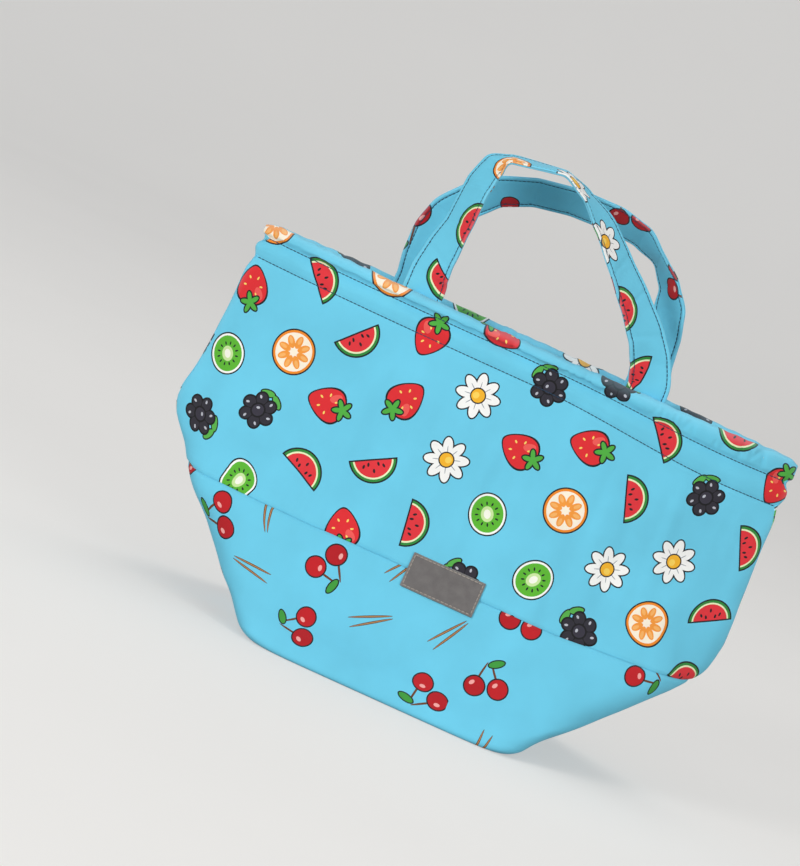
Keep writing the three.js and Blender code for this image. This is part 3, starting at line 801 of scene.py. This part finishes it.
def stitch_places(points, normals):
    """Where each stitch of a line goes, as a matrix for a unit ball."""
    along = np.concatenate([[0], np.cumsum(np.linalg.norm(np.diff(points, axis=0), axis=1))])
    count = max(int(along[-1] / STITCH_PITCH), 1)
    places = []
    for start in (np.arange(count) + 0.5) * along[-1] / count:
        back, front = [Vector([np.interp(start + half, along, points[:, k]) for k in range(3)])
                       for half in (-STITCH_LENGTH / 2, STITCH_LENGTH / 2)]
        normal = Vector([np.interp(start, along, normals[:, k]) for k in range(3)]).normalized()
        run = front - back
        half_length = max(run.length, 0.5) / 2
        run.normalize()
        across = normal.cross(run).normalized()
        turn = Matrix((across, run.cross(across), run)).transposed().to_4x4()
        size = Matrix.Diagonal((THREAD_RADIUS, THREAD_RADIUS, half_length, 1))
        places.append(Matrix.Scale(MM, 4) @ Matrix.Translation((back + front) / 2 + normal * STITCH_RISE) @ turn @ size)
    return places


def stitches(name, lines, body, material=None):
    """Short rounded stitches along lines of (points, normals), made in small batches, which is much faster."""
    places = [place for points, normals in lines for place in stitch_places(points, normals)]
    whole, batch = bmesh.new(), bpy.data.meshes.new("batch")
    for first in range(0, len(places), STITCH_BATCH):
        bm = bmesh.new()
        for place in places[first:first + STITCH_BATCH]:
            bmesh.ops.create_uvsphere(bm, u_segments=6, v_segments=4, radius=1, matrix=place)
        bm.to_mesh(batch)
        bm.free()
        whole.from_mesh(batch)
    mesh = bpy.data.meshes.new(name)
    whole.to_mesh(mesh)
    whole.free()
    bpy.data.meshes.remove(batch)
    return dress(shown(name, mesh, material or thread), body, ())


# Walls

def seam_curl(share, width_mm=1.5, depth=0.5):
    """Cloth drawn in where the two halves are sewn together at the sides."""
    from_seam = (1 - np.abs(share)) * HALF_GIRTH
    return -depth * nearness(from_seam, 0, width_mm)


def print_seam_relief(u, z):
    """The valley and the puckers of the seam between the two cloths."""
    pucker = 0.18 * waves(u, z * 0.2, 10, 32, 6)
    return pucker * nearness(z, PRINT_SEAM_HEIGHT, 9) - 1.1 * nearness(z, PRINT_SEAM_HEIGHT, 1.5)


def upper_relief(flat, z, share):
    """Height of the outer cloth over the plain wall: stitch valleys, puckers, seams and small creases."""
    u = flat[..., 0]
    relief = np.zeros_like(z)
    for line, depth in ((FIRST_LINE_HEIGHT, 1.1), (SECOND_LINE_HEIGHT, 0.8)):
        away = z - line
        relief -= depth * nearness(away, 0, 1.6)
        pucker = waves(u, away * 0.25, 9, line, 6)
        relief += 0.25 * pucker * np.exp(-np.abs(away) / 4.5)
    on_roll = smooth((z - FIRST_LINE_HEIGHT) / 5)
    relief += on_roll * (0.7 + 0.35 * waves(u, z * 0.15, 17, 31, 8))
    pleats = nearness(waves(u, z * 0.35, 15, 35, 5), 0, 0.24) * smooth(0.6 + waves(u, z, 55, 36, 6))
    relief -= 1.1 * pleats * smooth((z - FIRST_LINE_HEIGHT - 1) / 4) * (1 - 0.6 * smooth((z - 256) / 3.5))
    relief += 0.5 * nearness(z, (FIRST_LINE_HEIGHT + SECOND_LINE_HEIGHT) / 2, 5)
    relief += print_seam_relief(u, z) + 0.12 * waves(u, z, 24, 33)
    # The side seams end below the roll with a small notch
    relief -= 0.9 * nearness(z, FIRST_LINE_HEIGHT - 2, 2.2) * nearness((1 - np.abs(share)) * HALF_GIRTH, 0, 5)
    return relief + seam_curl(share)


def upper_panel(side, name):
    """Printed cloth with the roll and the facing, and the thread of its two lines, outside and inside."""
    # Rows lie 1 mm apart or less where there are stitches or the seam, and wider between
    inside = np.arange(SECOND_LINE_HEIGHT, ROLL_CENTRE_HEIGHT, 1.0)
    arc = np.radians(np.linspace(180, 0, 19))
    outside = np.concatenate([np.arange(ROLL_CENTRE_HEIGHT, 216, -1.0)[1:], np.linspace(216, 98, 36),
                              np.linspace(97.2, PRINT_SEAM_HEIGHT + 0.04, 12)])
    rows = inner_rows(inside) + roll_rows(0, arc) + outer_rows(outside)
    share = seam_shares(292)
    points, flat, z = wall(side, rows, share)
    flat[..., 1] -= flat[len(inside) + len(arc) // 2, 0, 1]
    relief = upper_relief(flat, z, share)
    raised, normals = raise_by(points, (0, side, 0), relief)
    wear = 0.8 * nearness(z, BAG_HEIGHT, 4) + 0.5 * nearness((1 - np.abs(share)) * HALF_GIRTH, 0, 3)
    if side > 0:
        flat[..., 0] = BACK_UPPER_SHIFT - flat[..., 0]
    cloth, pattern, worn = allowance((raised, flat, wear), normals)
    sheet(f"{name}_upper_cloth", cloth, pattern, (0, side, 0), printed_cotton, "bag_body",
          (f"{name}_upper_panel",), CLOTH_THICKNESS, worn)
    lines = []
    middle_columns = np.abs(share) < 0.985
    for height in (FIRST_LINE_HEIGHT, SECOND_LINE_HEIGHT):
        out_row = len(inside) + len(arc) + int(np.argmin(np.abs(outside - height)))
        lines.append((raised[out_row, middle_columns], normals[out_row, middle_columns]))
        in_row = min(int(np.argmin(np.abs(inside - height))) + 1, len(inside) - 1)
        lines.append((raised[in_row, middle_columns], normals[in_row, middle_columns]))
    stitches(f"{name}_rim_stitches", lines, "bag_body")


def lower_relief(flat, z, share):
    """Height of the lower cloth over the plain wall, fading out on the base."""
    u = flat[..., 0]
    return print_seam_relief(u, z) + 0.12 * waves(u, z, 24, 33) * smooth((z - 2) / 12) + seam_curl(share)


def lower_panel(side, name):
    """Second cloth, folded under to half of the base."""
    heights = np.concatenate([np.linspace(PRINT_SEAM_HEIGHT - 0.04, 82.8, 12), np.linspace(82, 8, 32)])
    rows = outer_rows(heights) + base_rows(0, 11, 22)
    share = seam_shares(220)
    points, flat, z = wall(side, rows, share)
    raised, normals = raise_by(points, (0, side, 0), np.where(z > 6, lower_relief(flat, z, share), 0))
    raised[..., 2] += np.where(z < 1, 0.7 * nearness(points[..., 1], 0, 1.4), 0)
    if side > 0:
        flat[..., 0] = BACK_LOWER_SHIFT - flat[..., 0]
    cloth, pattern = allowance((raised[::-1], flat[::-1]), normals[::-1])
    sheet(f"{name}_lower_cloth", cloth, pattern, (0, side, 0), accent_cotton, "bag_body",
          (f"{name}_lower_panel",), CLOTH_THICKNESS, closes=True)


def lining(side, name):
    """Lining from the facing's edge down to half of the base."""
    heights = np.concatenate([np.linspace(SECOND_LINE_HEIGHT - 0.3, 216, 10), np.linspace(213, 8, 60)])
    rows = inner_rows(heights) + base_rows(WALL_THICKNESS, 5, 14)
    share = seam_shares(160)
    points, flat, z = wall(side, rows, share)
    flat[..., 0] = LINING_SHIFT - flat[..., 0]
    relief = 0.35 * waves(flat[..., 0], z, 30, 41 if side < 0 else 42) * smooth((z - 8) / 20)
    raised, _ = raise_by(points, (0, -side, 0), relief + seam_curl(share, 1.5, 0.6))
    sheet(f"{name}_lining_cloth", raised, flat, (0, -side, 0), accent_cotton, "bag_body",
          (f"{name}_lining",), CLOTH_THICKNESS, closes=True)


def foam_half(z):
    """Half of the foam's thickness, which the stitch lines and the print seam squeeze."""
    squeezed = half_thickness(z) - FABRIC_THICKNESS - 1.1 - 0.7 * float(nearness(z, PRINT_SEAM_HEIGHT, 5))
    return max(squeezed, 0.12)


def foam_sheet(side, name):
    """Foam from rim to base, closed all round and thinner under the stitch lines and the print seam."""
    heights = np.concatenate([np.arange(254, 216, -2.0), np.linspace(214, 8, 60)])
    arc = np.radians(np.linspace(0, 180, 11))
    down = [(z, HALF_WALL - foam_half(z), 1.0) for z in heights]
    up = [(z, HALF_WALL + foam_half(z), 1.0) for z in heights]
    down += base_rows(FABRIC_THICKNESS + LAYER_GAP, 5, 8)
    up += base_rows(WALL_THICKNESS - FABRIC_THICKNESS - LAYER_GAP, 5, 8)
    up.reverse()
    rows = up + roll_rows(FABRIC_THICKNESS + 1.1, arc[::-1]) + down
    share = np.linspace(-0.982, 0.982, 121)
    points, flat, _ = wall(side, rows, share)
    count = len(up)
    for column in (0, -1):
        middle = (points[:count, column][::-1] + points[-count:, column]) / 2
        points[:count, column] = middle[::-1]
        points[-count:, column] = middle
    points[0] = points[-1] = (points[0] + points[-1]) / 2
    layer = sheet(f"{name}_foam_layer", points, flat, (0, side, 0), foam, "bag_body",
                  (f"{name}_foam",), closes=True)


# Patches

def pocket_sheet():
    """Slip pocket on the back lining: hemmed, slack towards its mouth and sewn down on its other edges."""
    columns = np.linspace(-POCKET_WIDTH / 2, POCKET_WIDTH / 2, 91)
    heights = np.linspace(POCKET_TOP_HEIGHT, POCKET_BOTTOM_HEIGHT, 64)
    x, z = np.meshgrid(columns, heights)
    near = WALL_THICKNESS + POCKET_CLEARANCE
    sides = smooth((POCKET_WIDTH / 2 - np.abs(x)) / 5) * smooth((z - POCKET_BOTTOM_HEIGHT) / 5)
    hem = 0.7 * smooth((z - (POCKET_TOP_HEIGHT - POCKET_HEM_DEPTH)) / 1.2)
    slack = 0.5 + 0.5 * waves(x, z, 40, 51) + 1.6 * smooth((z - 150) / 60) * np.cos(x / POCKET_WIDTH * math.pi)
    insets = near + 0.8 + sides * (hem + np.clip(slack, 0, 3))
    insets -= 0.35 * nearness(z, POCKET_TOP_HEIGHT - POCKET_HEM_DEPTH, 1)
    points = patch(1, heights, columns, insets)
    flat = np.stack([x, z], axis=2) + POCKET_SHIFT
    sheet("slip_pocket", points, flat, (0, -1, 0), accent_cotton, "bag_body", ("inner_pocket",), 0.7)
    _, normals = raise_by(points, (0, -1, 0), 0 * x)
    hem_row = int(np.argmin(np.abs(heights - (POCKET_TOP_HEIGHT - POCKET_HEM_DEPTH))))
    lines = [(points[hem_row, 2:-2], normals[hem_row, 2:-2]), (points[-3, 2:-2], normals[-3, 2:-2]),
             (points[:, 2], normals[:, 2]), (points[:, -3], normals[:, -3])]
    stitches("pocket_stitches", lines, "bag_body")


def label_patch():
    """Bare label on the front print seam, with rounded corners and pressed in along its stitches."""
    columns = np.linspace(-LABEL_WIDTH / 2, LABEL_WIDTH / 2, 73)
    heights = np.linspace(LABEL_HEIGHT / 2, -LABEL_HEIGHT / 2, 34)
    x, y = np.meshgrid(columns, heights)
    corner = 0.8
    over_x, over_y = np.abs(x) - (LABEL_WIDTH / 2 - corner), np.abs(y) - (LABEL_HEIGHT / 2 - corner)
    round_off = np.hypot(np.clip(over_x, 0, None), np.clip(over_y, 0, None))
    pull = np.where(round_off > corner, corner / np.maximum(round_off, 1e-6), 1)
    across = LABEL_CENTRE_X + np.sign(x) * (np.abs(x) - np.clip(over_x, 0, None) * (1 - pull))
    up = LABEL_CENTRE_HEIGHT + np.sign(y) * (np.abs(y) - np.clip(over_y, 0, None) * (1 - pull))
    to_edge = np.minimum(LABEL_WIDTH / 2 - np.abs(x), LABEL_HEIGHT / 2 - np.abs(y))
    groove = 0.28 * nearness(to_edge, 1.5, 0.5)
    thick = LABEL_THICKNESS * (0.55 + 0.45 * smooth(to_edge / 0.8)) - groove
    points = np.zeros(x.shape + (3,))
    share = np.zeros(x.shape)
    for r, c in np.ndindex(x.shape):
        reach = wall_reach(across[r, c], up[r, c], -LABEL_CLEARANCE - thick[r, c])
        points[r, c] = (across[r, c], -reach, up[r, c])
    for r, height in enumerate(heights):
        share[r] = share_at(across[r], LABEL_CENTRE_HEIGHT + height)
    points = soften(points, -1, share)
    wear = 0.8 * nearness(to_edge, 0, 0.8)
    flat = np.stack([x, y], axis=2)
    sheet("leather_label", points, flat, (0, -1, 0), leather, "bag_body", ("label_patch",),
          LABEL_THICKNESS * 0.9, wear)
    _, normals = raise_by(points, (0, -1, 0), 0 * x)
    low, high = 2, -3
    lines = [(points[low, low:high], normals[low, low:high]), (points[high, low:high], normals[high, low:high]),
             (points[low:high, low], normals[low:high, low]), (points[low:high, high], normals[low:high, high])]
    stitches("label_stitches", lines, "bag_body", label_thread)


# Straps

def route_points(route, samples, crispness, left_shift):
    """Samples of (x, height, lean) along a route: a smooth curve, or with crispness 1 straight runs between folds."""
    slope = rim_slope()
    left = -STRAP_HALF_SPACING - left_shift
    root = [(left, SEAM_GAP / 2, slope), (left, STRAIGHT_ROOT_RISE, slope)]
    ends = [(STRAP_HALF_SPACING, STRAIGHT_ROOT_RISE, slope), (STRAP_HALF_SPACING, SEAM_GAP / 2, slope)]
    stations = np.array(root + route + ends, float)
    places = stations[:, :2]
    before = 2 * places[0] - places[1]
    after = 2 * places[-1] - places[-2]
    padded = np.vstack([before, places, after])
    shares = np.linspace(0, len(stations) - 1, samples)
    out = np.zeros((samples, 3))
    # A centripetal curve, which makes no loops between stations that lie close together
    for n, share in enumerate(shares):
        i = min(int(share), len(stations) - 2)
        t = share - i
        p0, p1, p2, p3 = padded[i:i + 4]
        d0, d1, d2 = [max(np.linalg.norm(b - a) ** 0.5, 1e-4) for a, b in ((p0, p1), (p1, p2), (p2, p3))]
        m1 = ((p1 - p0) / d0 - (p2 - p0) / (d0 + d1) + (p2 - p1) / d1) * d1
        m2 = ((p2 - p1) / d1 - (p3 - p1) / (d1 + d2) + (p3 - p2) / d2) * d1
        c2 = -3 * p1 + 3 * p2 - 2 * m1 - m2
        c3 = 2 * p1 - 2 * p2 + m1 + m2
        curved = p1 + m1 * t + c2 * t ** 2 + c3 * t ** 3
        out[n, :2] = mix(curved, mix(p1, p2, t), crispness)
        out[n, 2] = mix(stations[i, 2], stations[i + 1, 2], smooth(t))
    return out


def rim_slope():
    """How much the rim turns away from straight across where a strap is sewn in, in degrees."""
    run = STRAP_WIDTH / 2
    near = wall_reach(STRAP_HALF_SPACING - run, ROLL_CENTRE_HEIGHT, HALF_WALL)
    far = wall_reach(STRAP_HALF_SPACING + run, ROLL_CENTRE_HEIGHT, HALF_WALL)
    return math.degrees(math.atan2(near - far, 2 * run))


def strap_frames(route, side):
    """Middle, across and outward direction all along a strap, from its left tail over the loop to its right tail."""
    run_samples = 30
    samples = run_samples * (len(route) + 3) + 1
    curve = route_points(route, samples, 0, LEFT_ROOT_SHIFT[side])
    along = np.gradient(curve[:, :2], axis=0)
    along /= np.linalg.norm(along, axis=1, keepdims=True)
    along[0], along[-1] = (0, 1), (0, -1)
    angle = np.radians(curve[:, 2])[:, None]
    inwards = np.stack([along[:, 1], 0 * along[:, 0], -along[:, 0]], axis=1)
    outwards = np.array([[0, -1.0, 0]])
    across = inwards * np.cos(angle) + outwards * np.sin(angle)
    normal = outwards * np.cos(angle) - inwards * np.sin(angle)
    folded_run = route_points(route, samples, STRAP_CRISPNESS, LEFT_ROOT_SHIFT[side])
    middle = np.stack([folded_run[:, 0], 0 * curve[:, 0] + SWING_RADIUS, folded_run[:, 1] + ROLL_RADIUS], axis=1)
    lean = np.array([[1, 0, 0], [0, math.cos(STRAP_LEAN), math.sin(STRAP_LEAN)],
                     [0, -math.sin(STRAP_LEAN), math.cos(STRAP_LEAN)]])
    middle, across, normal = middle @ lean, across @ lean, normal @ lean
    swing_reach = float(wall_reach(STRAP_HALF_SPACING, ROLL_CENTRE_HEIGHT, HALF_WALL))
    middle += np.array([0, -swing_reach, ROLL_CENTRE_HEIGHT])
    mirror = np.array([1, -side, 1])
    middle, across, normal = middle * mirror, across * mirror, normal * mirror
    # The tails lie on the facing and follow its sewn lines
    heights = np.linspace(SECOND_LINE_HEIGHT, BAG_HEIGHT - 1.5, 26)
    inset = [HALF_WALL + half_thickness(min(z, ROLL_CENTRE_HEIGHT)) + LAYER_GAP + STRAP_THICKNESS / 2 for z in heights]
    tails = []
    for end in (-1, 1):
        x = end * STRAP_HALF_SPACING - (LEFT_ROOT_SHIFT[side] if end < 0 else 0)
        sewn = np.array([z + float(sewn_higher(x, z)) for z in heights])
        reach = np.array([float(wall_reach(x, min(z, ROLL_CENTRE_HEIGHT), i)) for z, i in zip(sewn, inset)])
        tails.append(np.stack([0 * heights + x, side * reach, sewn], axis=1))
    middle = np.vstack([tails[0], middle, tails[1][::-1]])
    count = len(heights)
    across, normal = [np.pad(part, [(count, count), (0, 0)], "edge") for part in (across, normal)]
    length = np.concatenate([[0], np.cumsum(np.linalg.norm(np.diff(middle, axis=0), axis=1))])
    folds = length[count + 2 * run_samples:count + samples - 2 * run_samples:run_samples]
    even = np.linspace(0, length[-1], int(length[-1] / STRAP_ROW_SPACING))
    kernel = np.array([1, 2, 3, 2, 1]) / 9
    frames = []
    for values in (middle, across, normal):
        sampled = np.stack([np.interp(even, length, values[:, k]) for k in range(3)], axis=1)
        padded = np.pad(sampled, [(2, 2), (0, 0)], "edge")
        frames.append(np.stack([np.convolve(padded[:, k], kernel, "valid") for k in range(3)], axis=1))
    return even, *frames, folds


def strap(route, side, name):
    """Face, backing, core and thread of one strap, from tail to tail."""
    even, middle, across, normal, folds = strap_frames(route, side)
    columns = np.concatenate([STRAP_COLUMNS, -STRAP_COLUMNS[::-1]])
    levels = np.concatenate([STRAP_LEVELS, STRAP_LEVELS[::-1]])
    s, w = np.meshgrid(even, columns, indexing="ij")
    ripple = 0.22 * waves(s, w * 0.6, 22, 61 if side < 0 else 62) * smooth((13 - np.abs(w)) / 6)
    # The creases at the folds run a little aslant, now one way and now the other
    slant = 0.25 * w * np.sign(np.sin(s / 23))
    for fold in folds:
        ripple -= 0.5 * nearness(s + slant, fold, 1.7) * smooth((14.5 - np.abs(w)) / 3)
    body = ("bag_body", f"{name}_handle")
    lines = []
    for part, sign, material, slot, shift in (("face", 1, printed_cotton, "printed_cotton", FACE_SHIFT),
                                              ("backing", -1, accent_cotton, "accent_cotton", BACKING_SHIFT)):
        height = sign * (levels[None, :] + ripple)
        points = middle[:, None] + across[:, None] * w[..., None] + normal[:, None] * height[..., None]
        flat = np.stack([w + STRAP_SHIFT[side], s + shift], axis=2)
        outward = sign * normal[len(even) // 2]
        nodes = (f"{name}_handle_{part}",)
        if part == "face":
            nodes += (f"{name}_handle_tail_left", f"{name}_handle_tail_right")
        wear = 0.7 * nearness(np.abs(w), 15, 1.2)
        sheet(f"{name}_strap_{part}", points, flat, outward, material, body, nodes, 0.6, wear)
        for column in (STRAP_STITCH_COLUMN, -1 - STRAP_STITCH_COLUMN):
            lines.append((points[4:-4, column], sign * normal[4:-4]))
    stitches(f"{name}_strap_stitches", lines, body)
    core_columns = np.linspace(-13, 13, 9)
    s, w = np.meshgrid(even[::3], core_columns, indexing="ij")
    core = middle[::3, None] + across[::3, None] * w[..., None] + normal[::3, None] * 0.25
    flat = np.stack([w, s], axis=2)
    sheet(f"{name}_strap_core", core, flat, normal[len(even) // 2], webbing, body,
          (f"{name}_handle_core",), 0.5)


# Floor, lights and camera

def studio():
    """A pale paper floor, 44 by 26 m, that curves up into a wall 3 m behind the bag."""
    bend_start, bend_radius = 3.0, 2.0
    x, run = np.meshgrid(np.linspace(-22, 22, 9), np.linspace(-16, 10, 61))
    bent = np.maximum(run - bend_start, 0)
    angle = np.minimum(bent / bend_radius, math.pi / 2)
    rise = np.maximum(bent - bend_radius * math.pi / 2, 0)
    y = np.minimum(run, bend_start) + bend_radius * np.sin(angle)
    mesh = grid_mesh("pale_floor", np.stack([x, y, bend_radius * (1 - np.cos(angle)) + rise], axis=2) / MM)
    material, tree = new_material("matt_paper_floor")
    where = add(tree, "TexCoord").outputs["Object"]
    # Slightly uneven paper, in patches of about 0.3 m
    tooth = add(tree, "TexNoise", {"Vector": where, "Scale": 3.0, "Detail": 2.0})
    colour = add(tree, "MixRGB", [tooth, linear("#b4b2ae"), linear("#bbb9b5")])
    shader = add(tree, "BsdfDiffuse", {"Color": colour})
    # The camera alone sees it paler than it is lit
    path = add(tree, "LightPath")
    glow = add(tree, "Math", [path.outputs["Is Camera Ray"], 0.42], operation="MULTIPLY")
    lift = add(tree, "Emission", [(1, 1, 1, 1), glow])
    both = add(tree, "AddShader", [shader, lift])
    add(tree, "OutputMaterial", [both])
    shown("pale_floor", mesh, material)


def lights():
    """Window light from the left, fill from the right, soft light from above and an even pale room."""
    for name, place, size, power, aim in (
            ("window_left", (-1.9, -2.1, 0.85), 0.9, 43, (0, 0, 0.15)),
            ("fill_right", (1.6, -2.0, 0.6), 1.6, 25.5, (0, 0, 0.2)),
            ("top_soft", (0.3, 0.5, 2.2), 1.2, 10, (0, 0, 0.2))):
        lamp = bpy.data.lights.new(name, "AREA")
        lamp.size = size
        lamp.energy = power
        item = bpy.data.objects.new(name, lamp)
        item.location = place
        item.rotation_euler = (Vector(aim) - Vector(place)).to_track_quat("-Z", "Y").to_euler()
        bpy.context.scene.collection.objects.link(item)
    world = bpy.context.scene.world = bpy.data.worlds.new("soft_room")
    world.use_nodes = True
    tree = world.node_tree
    tree.nodes.clear()
    path = add(tree, "LightPath")
    mirrored = add(tree, "Math", [path.outputs["Is Glossy Ray"], path.outputs["Is Transmission Ray"]],
                   operation="MAXIMUM")
    strength = add(tree, "MapRange", {"Value": mirrored, "To Min": 0.38, "To Max": 1.0})
    # What the camera sees past the floor is as pale as the far floor
    behind = add(tree, "Math", [path.outputs["Is Camera Ray"], 0.6], operation="MULTIPLY")
    strength = add(tree, "Math", [strength.outputs[0], behind], operation="MAXIMUM")
    background = add(tree, "Background", [(1, 1, 1, 1), strength])
    add(tree, "OutputWorld", [background])


def camera():
    """Square on to the front, a little from above, rolled as the photograph shows the bag."""
    elevation, roll, distance = math.radians(6.45), math.radians(24.36), 2.5
    sensor, image_height, pixels_per_mm = 36, 866, 1.4174
    look = Vector((0, math.cos(elevation), -math.sin(elevation)))
    level, upright = Vector((1, 0, 0)), Vector((0, math.sin(elevation), math.cos(elevation)))
    right = level * math.cos(roll) + upright * math.sin(roll)
    up = upright * math.cos(roll) - level * math.sin(roll)
    data = bpy.data.cameras.new("photo_camera")
    data.sensor_width = sensor
    data.lens = pixels_per_mm * distance / MM * sensor / image_height
    item = bpy.data.objects.new("photo_camera", data)
    turn = Matrix((right, up, -look)).transposed().to_4x4()
    target = Vector((-0.0593, 0, 0.163))
    item.matrix_world = Matrix.Translation(target - look * distance) @ turn
    bpy.context.scene.collection.objects.link(item)
    bpy.context.scene.camera = item


camera()
settle_wall()
for side, name, route in ((-1, "front", FRONT_ROUTE), (1, "back", BACK_ROUTE)):
    upper_panel(side, name)
    lower_panel(side, name)
    foam_sheet(side, name)
    lining(side, name)
    strap(route, side, name)
pocket_sheet()
label_patch()
studio()
lights()
bpy.context.scene.view_settings.view_transform = "Standard"

bpy.context.view_layer.update()
